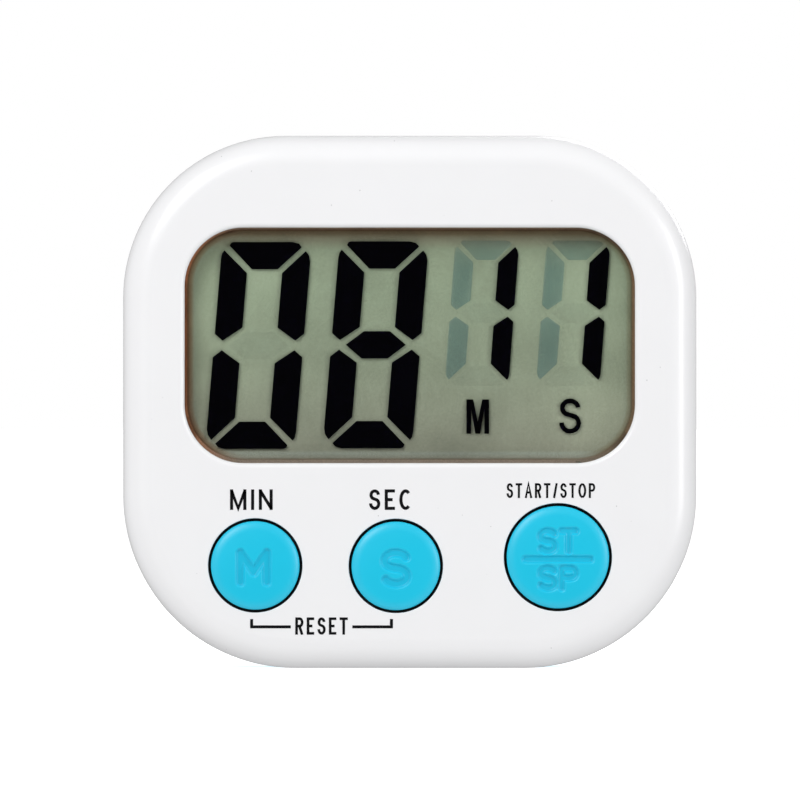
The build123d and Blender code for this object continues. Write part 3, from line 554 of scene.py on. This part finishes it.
def print_strokes(letter_name, width, height, stroke):
    """Centre lines of a printed capital whose square-ended strokes fill the given box."""
    a, b, half = (width - stroke) / 2, (height - stroke) / 2, height / 2
    stem = [(-a, -half), (-a, half)]
    bowl_start = -a + stroke / 2
    bowl = [(bowl_start, b)] + arc_points((a * 0.1, b * 0.5), (a * 0.9, b * 0.5), 90, -90) + [(bowl_start, 0)]
    arms = [(b, width / 2), (0, a * 0.8), (-b, width / 2)]
    upper_bend = arc_points((0, 0.53 * b), (0.92 * a, 0.47 * b), 4, 232)
    lower_bend = arc_points((0, -0.47 * b), (a, 0.53 * b), 55, -184)
    lines = {
        "I": [[(0, -half), (0, half)]],
        "T": [[(-width / 2, b), (width / 2, b)], [(0, -half), (0, b - stroke / 2)]],
        "E": [stem] + [[(bowl_start, z), (reach, z)] for z, reach in arms],
        "N": [stem, [(a, -half), (a, half)], [(-a, b), (a, -b)]],
        "M": [stem, [(a, -half), (a, half)], [(-a, b), (0, -b), (a, b)]],
        "S": [upper_bend + lower_bend],
        "C": [arc_points((0, 0), (a, b), 48, 312, 24)],
        "O": [arc_points((0, 0), (a, b), 90, 270, 18), arc_points((0, 0), (a, b), 270, 450, 18)],
        "A": [[(-a, -half), (0, half), (a, -half)], [(-a * 0.55, -0.3 * b), (a * 0.55, -0.3 * b)]],
        "P": [stem, bowl],
        "R": [stem, bowl, [(0, 0), (a, -half)]],
        "/": [[(-a, -half), (a, half)]],
    }
    return lines[letter_name]


def printed_words(words, centre, height, width, stroke):
    """Outlines of a row of printed words, squeezed or stretched to the given width."""
    shares = [LETTER_WIDTHS.get(c, COMMON_WIDTH) * height for c in words]
    spacing = LETTER_SPACING * height
    squeeze = width / (sum(shares) + spacing * (len(words) - 1))
    outlines, x = [], centre[0] - width / 2
    for character, share in zip(words, shares):
        for line in print_strokes(character, max(share * squeeze, stroke), height, stroke):
            placed = [(x + share * squeeze / 2 + px, centre[1] + pz) for px, pz in line]
            outlines.append(ribbon(placed, stroke))
        x += (share + spacing) * squeeze
    return outlines


UNIT_STROKE = 0.57 * MM


def tall_m(width, height, stroke):
    """Outlines of a tall M: two stems and two slanted arms that meet in a blunt foot."""
    outlines, high = [], height / 2
    for side in (-1, 1):
        outer, inner = side * width / 2, side * (width / 2 - stroke)
        start, end = side * (width / 2 - 0.65 * stroke), side * (width / 2 - 1.45 * stroke)
        foot = side * 0.52 * stroke
        outlines.append([(outer, -high), (inner, -high), (inner, high), (outer, high)])
        outlines.append([(start, high), (end, high), (-foot, -high), (foot, -high)])
    return outlines


s_size = (2.66 * MM, 4.28 * MM)
s_outlines = [ribbon(line, UNIT_STROKE) for line in print_strokes("S", *s_size, UNIT_STROKE)]
for name, outlines, (x, z) in (
    ("display_minute_unit", tall_m(2.76 * MM, 4.18 * MM, UNIT_STROKE), (8.30 * MM, (MID_Z - 1.78) * MM)),
    ("display_second_unit", s_outlines, (19.58 * MM, (MID_Z - 1.71) * MM)),
):
    placed = [[(x + px, z + pz) for px, pz in line] for line in outlines]
    mesh_piece(name, *prisms(placed, segment_front, segment_back), lit_ink, "display_glass")

label_ink = ink("label_ink", (0.003, 0.003, 0.004), 0.5, gloss=0.12)
LABEL_FRONT = FACE_Y - 0.02 * MM
LABEL_BACK = FACE_Y + 0.01 * MM
for name, words, centre, height, width, stroke in (
    ("label_minute", "MIN", (-19.3, MID_Z - 11.9), 2.5, 5.2, 0.38),
    ("label_second", "SEC", (-2.35, MID_Z - 11.9), 2.5, 5.2, 0.38),
    ("label_start_stop", "START/STOP", (17.2, MID_Z - 10.8), 1.8, 10.8, 0.26),
    ("label_reset", "RESET", (-10.75, MID_Z - 27.3), 2.1, 6.4, 0.32),
):
    place = (centre[0] * MM, centre[1] * MM)
    outlines = printed_words(words, place, height * MM, width * MM, stroke * MM)
    mesh_piece(name, *prisms(outlines, LABEL_FRONT, LABEL_BACK), label_ink, "white_shell")


def bracket(side):
    """Bracket line from the reset label out to one key, turned up at its end."""
    line = 0.36 * MM
    near, far = 3.75 * MM, 8.7 * MM
    middle_x, z, up = -10.75 * MM, (MID_Z - 27.4) * MM, 0.95 * MM
    points = [
        (near, z - line / 2), (far, z - line / 2), (far, z + up), (far - line, z + up),
        (far - line, z + line / 2), (near, z + line / 2),
    ]
    return [(middle_x + side * x, height) for x, height in points]


brackets = [bracket(-1), bracket(1)]
mesh_piece("label_bracket", *prisms(brackets, LABEL_FRONT, LABEL_BACK), label_ink, "white_shell")


# ------------------------------------------------------------------ front shell
BODY = dict(width=70 * MM, height=65 * MM, top=19.75 * MM, bottom=21.0 * MM)
SEAM_CHAMFER = 0.15 * MM
WALL = 1.6 * MM
FACE_ROUND = 3.6 * MM
INNER_ROUND = 1.0 * MM
RIM_ROUND = 0.60 * MM
RIM_LIP = 0.15 * MM
RIM_DROP = 0.10 * MM
RIM_DEPTH = 0.8 * MM
LENS_MARGIN = 1.1 * MM
HOLE_ROUND = 0.10 * MM
HOLE_GAP = 0.35 * MM
SHADE_DEPTH = 0.28 * MM
SUPPORT = 0.05 * MM
KEY_FLANGE = 0.9 * MM


def rounded_loop(centre, half_width, half_height, top, bottom, steps=30):
    """Points round a rectangle with its own corner radii at the top and the bottom."""
    points = []
    for side_x, side_z, radius, start in (
        (1, 1, top, 0), (-1, 1, top, 90), (-1, -1, bottom, 180), (1, -1, bottom, 270),
    ):
        middle = (centre[0] + side_x * (half_width - radius), centre[1] + side_z * (half_height - radius))
        points += arc_points(middle, (radius, radius), start, start + 90, steps)
    return points


def body_loop(inset):
    """Body outline of the front shell, drawn in by inset from the widest outline."""
    return rounded_loop(
        (0, BODY["height"] / 2), BODY["width"] / 2 - inset, BODY["height"] / 2 - inset,
        BODY["top"] - inset, BODY["bottom"] - inset,
    )


def window_loop(grow):
    """Window outline, larger by grow and a little lower than the display behind it."""
    radius = WINDOW_CORNER + grow
    centre = (WINDOW_CENTRE.x, WINDOW_CENTRE.z - RIM_DROP)
    return rounded_loop(centre, WINDOW_SIZE[0] / 2 + grow, WINDOW_SIZE[1] / 2 + grow, radius, radius, 20)


def hole_loop(centre, radius):
    """Circle of a key hole."""
    return arc_points(centre, (radius, radius), 0, 360 - 360 / 128, 128)


def front_shell_piece():
    """Front moulding: rounded outside, window rim with its lens seat, key holes and hollow inside."""
    work = bmesh.new()
    inner_face = FACE_Y + WALL
    parting = shell_high.y

    def loop(points, y):
        return [work.verts.new((x, y, z)) for x, z in points]

    def strip(loops, shaded_from=None):
        """Quads between each loop and the next; faces at or past shaded_from take the second material."""
        for step, (first, second) in enumerate(zip(loops, loops[1:])):
            for i in range(len(first)):
                j = (i + 1) % len(first)
                face = work.faces.new((first[i], first[j], second[j], second[i]))
                if shaded_from is not None and step >= shaded_from:
                    face.material_index = 1

    def fill(loops):
        """Flat face between an outer loop and the loops of its holes."""
        edges = []
        for ring in loops:
            for pair in zip(ring, ring[1:] + ring[:1]):
                edges.append(work.edges.get(pair) or work.edges.new(pair))
        bmesh.ops.triangle_fill(work, edges=edges, use_beauty=True, use_dissolve=False)

    turn = np.radians(np.linspace(0, 90, 15))
    outside = [loop(body_loop(SEAM_CHAMFER), parting), loop(body_loop(0), parting - SEAM_CHAMFER)]
    outside += [
        loop(body_loop(FACE_ROUND * (1 - math.cos(a))), FACE_Y + FACE_ROUND * (1 - math.sin(a))) for a in turn
    ]
    outside.append(loop(body_loop(FACE_ROUND + SUPPORT), FACE_Y))
    inside = [loop(body_loop(WALL), parting)]
    inside += [
        loop(body_loop(WALL + INNER_ROUND * (1 - math.cos(a))), inner_face + INNER_ROUND * (1 - math.sin(a)))
        for a in turn[::2]
    ]
    strip(outside)
    strip(inside)
    strip([inside[0], outside[0]])

    bend = [(1 - math.cos(a), 1 - math.sin(a)) for a in np.radians(np.linspace(90, 0, 8))]
    rim = [loop(window_loop(RIM_ROUND - RIM_LIP + SUPPORT), FACE_Y)]
    rim += [
        loop(window_loop(RIM_ROUND * side - RIM_LIP), FACE_Y + RIM_ROUND * depth) for side, depth in bend
    ]
    rim += [
        loop(window_loop(-RIM_LIP), FACE_Y + RIM_DEPTH), loop(window_loop(LENS_MARGIN), FACE_Y + RIM_DEPTH),
        loop(window_loop(LENS_MARGIN), inner_face),
    ]
    strip(rim)

    front_rings, back_rings = [outside[-1], rim[0]], [inside[-1], rim[-1]]
    for key in ("minute_button", "second_button", "start_stop_button"):
        low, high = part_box(key)
        centre = ((low.x + high.x) / 2, (low.z + high.z) / 2)
        radius = (high.x - low.x) / 2 - KEY_FLANGE + HOLE_GAP
        ring = [loop(hole_loop(centre, radius + HOLE_ROUND + SUPPORT), FACE_Y)]
        ring += [
            loop(hole_loop(centre, radius + HOLE_ROUND * side), FACE_Y + HOLE_ROUND * depth)
            for side, depth in bend
        ]
        ring += [loop(hole_loop(centre, radius), y) for y in (FACE_Y + SHADE_DEPTH, inner_face)]
        # Key hole walls past SHADE_DEPTH take the black second material: painted shade in the gap round each
        # key.
        strip(ring, len(ring) - 2)
        front_rings.append(ring[0])
        back_rings.append(ring[-1])
    fill(front_rings)
    fill(back_rings)
    bmesh.ops.recalc_face_normals(work, faces=work.faces)
    mesh = bpy.data.meshes.new("front_shell_moulding")
    work.to_mesh(mesh)
    work.free()
    piece = bpy.data.objects.new("front_shell_moulding", mesh)
    bpy.context.scene.collection.objects.link(piece)
    dress(piece, white_plastic)
    # Second material, black, for the painted shade on the key hole walls.
    mesh.materials.append(black_plastic_and_painted_shade)
    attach(piece, "body")
    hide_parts("front_shell")


front_shell_piece()


# ------------------------------------------------------------------ keys with sunk letters
def letter(name, width, height, stroke):
    """Centre lines of a capital letter whose strokes fill the given width and height."""
    a, b = (width - stroke) / 2, (height - stroke) / 2
    if name == "M":
        return [[(-a, -b), (-a, b), (0, -0.33 * b), (a, b), (a, -b)]]
    if name == "S":
        upper = arc_points((0, b / 2), (a, b / 2), 25, 270)
        lower = arc_points((0, -b / 2), (a, b / 2), 90, -155)
        return [upper + lower[1:]]
    if name == "T":
        return [[(-a, b), (a, b)], [(0, b), (0, -b)]]
    if name == "P":
        bowl = arc_points((a * 0.15, b * 0.5), (a * 0.85, b * 0.5), 90, -90)
        return [[(-a, -b), (-a, b)] + bowl + [(-a, 0)]]
    return [[(-a, 0), (a, 0)]]


def stroke_distance(x, z, lines):
    """Distance of each point from the nearest centre line."""
    nearest = np.full(x.shape, 1.0)
    for line in lines:
        for (x0, z0), (x1, z1) in zip(line, line[1:]):
            dx, dz = x1 - x0, z1 - z0
            t = np.clip(((x - x0) * dx + (z - z0) * dz) / (dx * dx + dz * dz), 0, 1)
            nearest = np.minimum(nearest, np.hypot(x - x0 - t * dx, z - z0 - t * dz))
    return nearest


KEY_EDGE = 0.68 * MM
KEY_SHOULDER = 1.6 * MM
SHOULDER_START = math.radians(15)
SUNK = 0.34 * MM
SOFTNESS = 0.40 * MM
FLANGE_THICKNESS = 0.7 * MM
CAP_WALL = 1.0 * MM
CAP_TOP = 1.2 * MM
CAP_BEVEL = 0.1 * MM
FILLET = 0.02 * MM
CENTRE_HOLE = 0.06 * MM
TURNS = 320
TOP_RINGS = 78
EDGE_RINGS = 18


def key_cap(name, body, marks):
    """Key cap with a slightly domed top, a rounded edge, a flange, a hollow back and sunk letters."""
    low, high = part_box(name)
    flange = (high.x - low.x) / 2
    radius = flange - KEY_FLANGE
    centre_x, centre_z = (low.x + high.x) / 2, (low.z + high.z) / 2
    top, back = low.y, high.y
    flange_front = back - FLANGE_THICKNESS
    flat = radius - KEY_SHOULDER * (1 - math.sin(SHOULDER_START))
    crown = 0.5 * flat * KEY_EDGE / KEY_SHOULDER * math.tan(SHOULDER_START)
    rings = [(r, top + crown * (r / flat) ** 2) for r in np.linspace(CENTRE_HOLE, flat, TOP_RINGS)]
    for angle in np.linspace(SHOULDER_START, math.pi / 2, EDGE_RINGS + 1)[1:]:
        rings.append((
            radius - KEY_SHOULDER * (1 - math.sin(angle)),
            top + crown + KEY_EDGE * (math.cos(SHOULDER_START) - math.cos(angle)),
        ))
    hollow = radius - CAP_WALL
    rings += [
        (radius, rings[-1][1] + SHADE_DEPTH), (radius, flange_front - FILLET),
        (radius + FILLET, flange_front), (flange - CAP_BEVEL, flange_front),
        (flange, flange_front + CAP_BEVEL), (flange, back - CAP_BEVEL), (flange - CAP_BEVEL, back),
        (hollow, back), (hollow, top + CAP_TOP + CAP_BEVEL), (hollow - CAP_BEVEL, top + CAP_TOP),
        (CENTRE_HOLE, top + CAP_TOP),
    ]
    angles = np.linspace(0, 2 * math.pi, TURNS, endpoint=False)
    r, y = (np.array([ring[i] for ring in rings])[:, None] for i in (0, 1))
    x, z = r * np.cos(angles), r * np.sin(angles)
    y = np.repeat(y, TURNS, axis=1)
    near = np.full(x.shape, 1.0)
    for mark, (mark_x, mark_z), (width, height), stroke in marks:
        lines = letter(mark, width * MM, height * MM, stroke * MM)
        near = np.minimum(near, stroke_distance(x - mark_x * MM, z - mark_z * MM, lines) - stroke * MM / 2)
    rise = np.clip(near / SOFTNESS + 0.5, 0, 1)
    depth = SUNK * (1 - rise * rise * (3 - 2 * rise))
    depth[TOP_RINGS:] = 0
    y += depth
    count = len(rings)
    vertices = np.stack([centre_x + x, y, centre_z + z], axis=-1).reshape(-1, 3).tolist()
    faces = []
    for ring in range(count - 1):
        for turn in range(TURNS):
            after = (turn + 1) % TURNS
            start, end = ring * TURNS, (ring + 1) * TURNS
            faces.append([start + turn, start + after, end + after, end + turn])
    faces.append([turn for turn in reversed(range(TURNS))])
    faces.append([(count - 1) * TURNS + turn for turn in range(TURNS)])
    cap = mesh_piece(name + "_cap", vertices, faces, cyan_key, "cyan_key", body)
    # Black for the cap's side below SHADE_DEPTH and the hidden flange and back: painted shade in the gap
    # round the key.
    cap.data.materials.append(black_plastic_and_painted_shade)
    cap.data.materials.append(cyan_painted_letter_shade)
    hidden = TOP_RINGS + EDGE_RINGS
    # Letter floors deeper than 0.7 of SUNK take the darker cyan: painted shade in the letters.
    painted_shade_letter_floor = depth[:-1] > 0.7 * SUNK
    for face in cap.data.polygons:
        ring, turn = divmod(face.index, TURNS)
        if ring < count - 1 and ring >= hidden:
            face.material_index = 1
        elif ring < count - 1 and painted_shade_letter_floor[ring, turn]:
            face.material_index = 2
    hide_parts(name)


key_cap("minute_button", "minute_key", [("M", (-0.2, -0.25), (4.15, 4.5), 0.95)])
key_cap("second_button", "second_key", [("S", (0.0, -0.3), (3.7, 4.75), 0.95)])
key_cap("start_stop_button", "start_stop_key", [
    ("S", (-1.25, 1.95), (2.5, 3.25), 0.78), ("T", (1.3, 1.95), (2.5, 3.25), 0.78),
    ("-", (0.0, -0.25), (8.7, 0.8), 0.8),
    ("S", (-1.25, -2.55), (2.5, 3.25), 0.78), ("P", (1.3, -2.55), (2.5, 3.2), 0.78),
])


# ------------------------------------------------------------------ stage, lights and camera
def stage_material():
    """Pale studio floor."""
    material, tree, shader = start_material("studio_floor")
    base = ramp(tree, noise(tree, 0.2, 2.0), [(0.3, grey(0.93)), (0.7, grey(0.95))])
    tree.links.new(base, shader.inputs["Base Color"])
    shader.inputs["Roughness"].default_value = 0.9
    shader.inputs["Emission Color"].default_value = (1.0, 1.0, 1.0, 1.0)
    shader.inputs["Emission Strength"].default_value = 0.75
    return material


def area_light(name, place, aim, size, power):
    """Soft rectangular light that points from place to aim."""
    data = bpy.data.lights.new(name, "AREA")
    data.shape = "RECTANGLE"
    data.size, data.size_y = size
    data.energy = power
    lamp = bpy.data.objects.new(name, data)
    bpy.context.scene.collection.objects.link(lamp)
    lamp.location = place
    lamp.rotation_euler = (Vector(aim) - Vector(place)).to_track_quat("-Z", "Y").to_euler()


FLOOR = 12.0
floor_mesh = bpy.data.meshes.new("studio_floor")
floor_corners = [(-FLOOR, -FLOOR, 0), (FLOOR, -FLOOR, 0), (FLOOR, FLOOR, 0), (-FLOOR, FLOOR, 0)]
floor_mesh.from_pydata(floor_corners, [], [[0, 1, 2, 3]])
floor = bpy.data.objects.new("studio_floor", floor_mesh)
floor.data.materials.append(stage_material())
bpy.context.scene.collection.objects.link(floor)
floor.visible_glossy = False
floor.visible_diffuse = False


LIGHT_BELOW, LIGHT_LEVEL, LIGHT_ABOVE, LIGHT_BEHIND = 1.05, 0.78, 0.57, 0.35


def studio_world():
    """White backdrop, and soft light, strongest from below and weakest from behind and near the camera."""
    world = bpy.data.worlds.new("studio")
    world.use_nodes = True
    tree = world.node_tree
    backdrop = tree.nodes["Background"]
    backdrop.inputs["Color"].default_value = (1.0, 1.0, 1.0, 1.0)
    direction = separated(tree, tree.nodes.new("ShaderNodeTexCoord").outputs["Generated"])

    def by_axis(axis, low, high, stops):
        """Grey ramp along an axis of the direction, from low to high."""
        shades = [(place, grey(value)) for place, value in stops]
        return ramp(tree, span(tree, direction[axis], low, high), shades, "EASE")

    light = by_axis("Z", -1.0, 1.0, [(0.0, LIGHT_BELOW), (0.5, LIGHT_LEVEL), (1.0, LIGHT_ABOVE)])
    camera_side = [-math.cos(math.radians(angle)) for angle in (12, 34)]
    light = multiplied(
        tree, light,
        by_axis("Y", *camera_side, [(0.0, 0.02), (1.0, 1.0)]),
        by_axis("Y", -1.0, 1.0, [(0.0, 1.0), (0.45, 1.0), (0.75, LIGHT_BEHIND), (1.0, LIGHT_BEHIND)]),
    )
    glow = tree.nodes.new("ShaderNodeBackground")
    tree.links.new(light, glow.inputs["Color"])
    path = tree.nodes.new("ShaderNodeLightPath")
    mix = tree.nodes.new("ShaderNodeMixShader")
    tree.links.new(path.outputs["Is Camera Ray"], mix.inputs["Fac"])
    tree.links.new(glow.outputs["Background"], mix.inputs[1])
    tree.links.new(backdrop.outputs["Background"], mix.inputs[2])
    tree.links.new(mix.outputs["Shader"], tree.nodes["World Output"].inputs["Surface"])
    return world


bpy.context.scene.world = studio_world()

MIDDLE = Vector((0, 0, (cad_low.z + cad_high.z) / 2))
area_light("key_light", (-0.45, -0.60, 0.55), MIDDLE, (0.45, 0.45), 4.3)
area_light("side_fill", (0.75, -0.45, 0.15), MIDDLE, (0.30, 0.60), 3.1)
area_light("back_fill", (0.35, 0.75, 0.45), MIDDLE, (0.60, 0.45), 4.0)

CAMERA_DISTANCE = 1.5
FRAME_WIDTH = 97.48 * MM
LEFT_SHIFT = 1.19 * MM
RAISE = 0.24 * MM
camera_data = bpy.data.cameras.new("camera")
camera_data.sensor_width = 36.0
camera_data.lens = camera_data.sensor_width * CAMERA_DISTANCE / FRAME_WIDTH
camera_data.clip_end = 50.0
camera = bpy.data.objects.new("camera", camera_data)
bpy.context.scene.collection.objects.link(camera)
camera.location = (-LEFT_SHIFT, FACE_Y - CAMERA_DISTANCE, MIDDLE.z + RAISE)
camera.rotation_euler = (math.radians(90), 0, 0)
bpy.context.scene.camera = camera
bpy.context.scene.view_settings.view_transform = "Standard"
bpy.context.scene.cycles.transparent_max_bounces = 64
